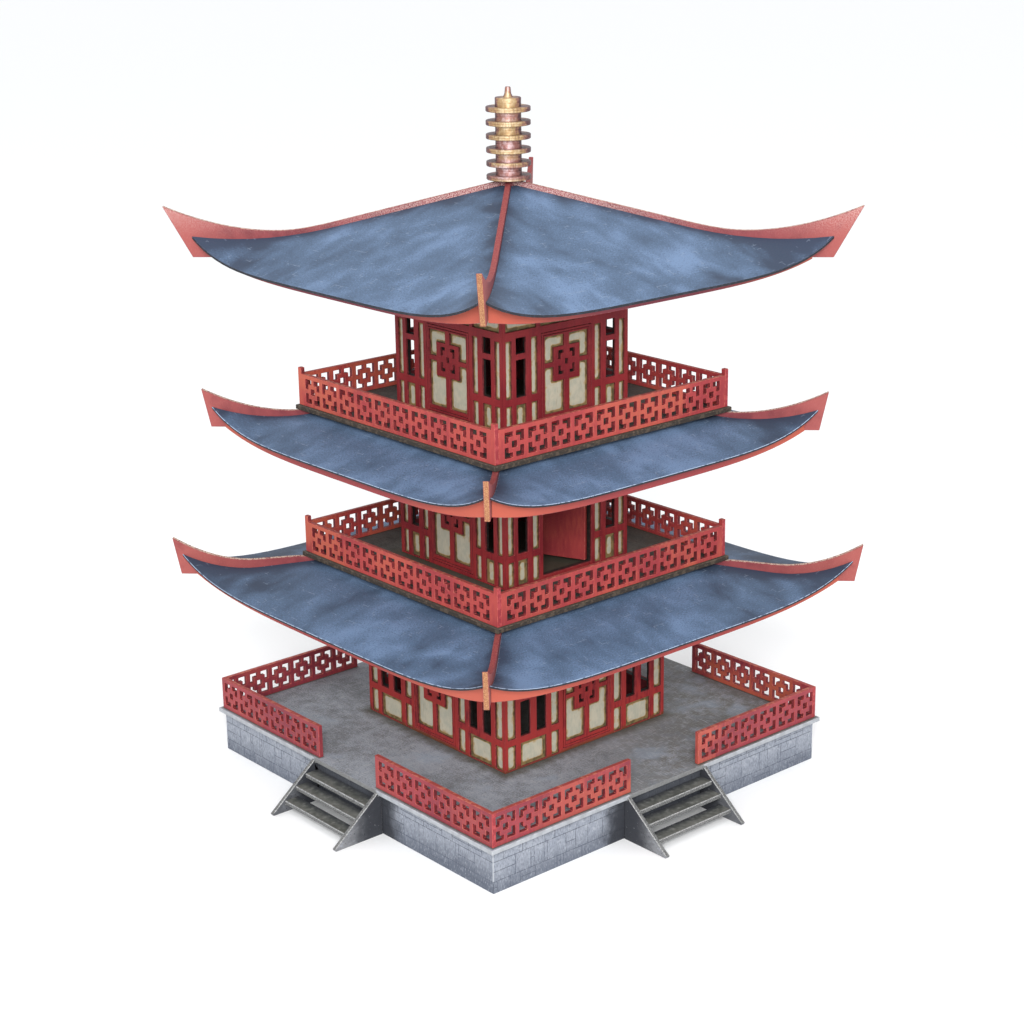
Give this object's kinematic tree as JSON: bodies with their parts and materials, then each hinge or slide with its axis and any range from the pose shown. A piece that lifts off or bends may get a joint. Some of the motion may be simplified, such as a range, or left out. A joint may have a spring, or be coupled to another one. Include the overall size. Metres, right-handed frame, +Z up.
{
  "type": "toy pagoda",
  "caption": "Tabletop pagoda of painted fibreboard: square plinth with steps, walled storeys with balcony rails, upswept roofs and a disc finial; hinged ground doors.",
  "frame": {"origin": "ground level on the vertical centre line, at the middle of the plinth's lower edge", "axes": "+Z up; -Y towards the front side; the second storey's door that stands open is on the +X side"},
  "size_m": [0.2472, 0.2472, 0.3102],
  "materials": {
    "red": "matte crimson paint with dry-brushed edges",
    "slate": "matte slate blue paint with a pale cloudy brushing",
    "stone": "matte stone grey paint with dark washed joints",
    "umber": "matte grey-brown paint with a dark edge",
    "copper": "satin copper and gold coloured paint"
  },
  "bodies": {
    "building": {"plinth_walls": "stone", "deck": "stone", "stair_front": "stone", "stair_right": "stone", "stair_back": "stone", "stair_left": "stone", "ground_rail_front_left": "red", "ground_rail_front_right": "red", "ground_rail_right_left": "red", "ground_rail_right_right": "red", "ground_rail_back_left": "red", "ground_rail_back_right": "red", "ground_rail_left_left": "red", "ground_rail_left_right": "red", "wall_1_front": "red", "wall_1_right": "red", "wall_1_back": "red", "wall_1_left": "red", "roof_1_shell": "slate", "roof_1_frame": "red", "floor_2": "umber", "rail_2_front": "red", "rail_2_right": "red", "rail_2_back": "red", "rail_2_left": "red", "wall_2_front": "red", "wall_2_right": "red", "wall_2_back": "red", "wall_2_left": "red", "door_2_right": "red", "roof_2_shell": "slate", "roof_2_frame": "red", "floor_3": "umber", "rail_3_front": "red", "rail_3_right": "red", "rail_3_back": "red", "rail_3_left": "red", "wall_3_front": "red", "wall_3_right": "red", "wall_3_back": "red", "wall_3_left": "red", "roof_3_shell": "slate", "roof_3_frame": "red", "finial": "copper"},
    "door_front": {"door_1_front": "red"},
    "door_right": {"door_1_right": "red"},
    "door_back": {"door_1_back": "red"},
    "door_left": {"door_1_left": "red"}
  },
  "joints": [
    {"name": "door_1_front_hinge", "type": "hinge", "parent": "building", "child": "door_front", "pos_m": [0.0142, -0.0458, 0.042], "axis": [0, 0, -1], "range_deg": [0, 85]},
    {"name": "door_1_right_hinge", "type": "hinge", "parent": "building", "child": "door_right", "pos_m": [0.0458, 0.0142, 0.042], "axis": [0, 0, -1], "range_deg": [0, 85]},
    {"name": "door_1_back_hinge", "type": "hinge", "parent": "building", "child": "door_back", "pos_m": [-0.0142, 0.0458, 0.042], "axis": [0, 0, -1], "range_deg": [0, 85]},
    {"name": "door_1_left_hinge", "type": "hinge", "parent": "building", "child": "door_left", "pos_m": [-0.0458, -0.0142, 0.042], "axis": [0, 0, -1], "range_deg": [0, 85]}
  ]
}
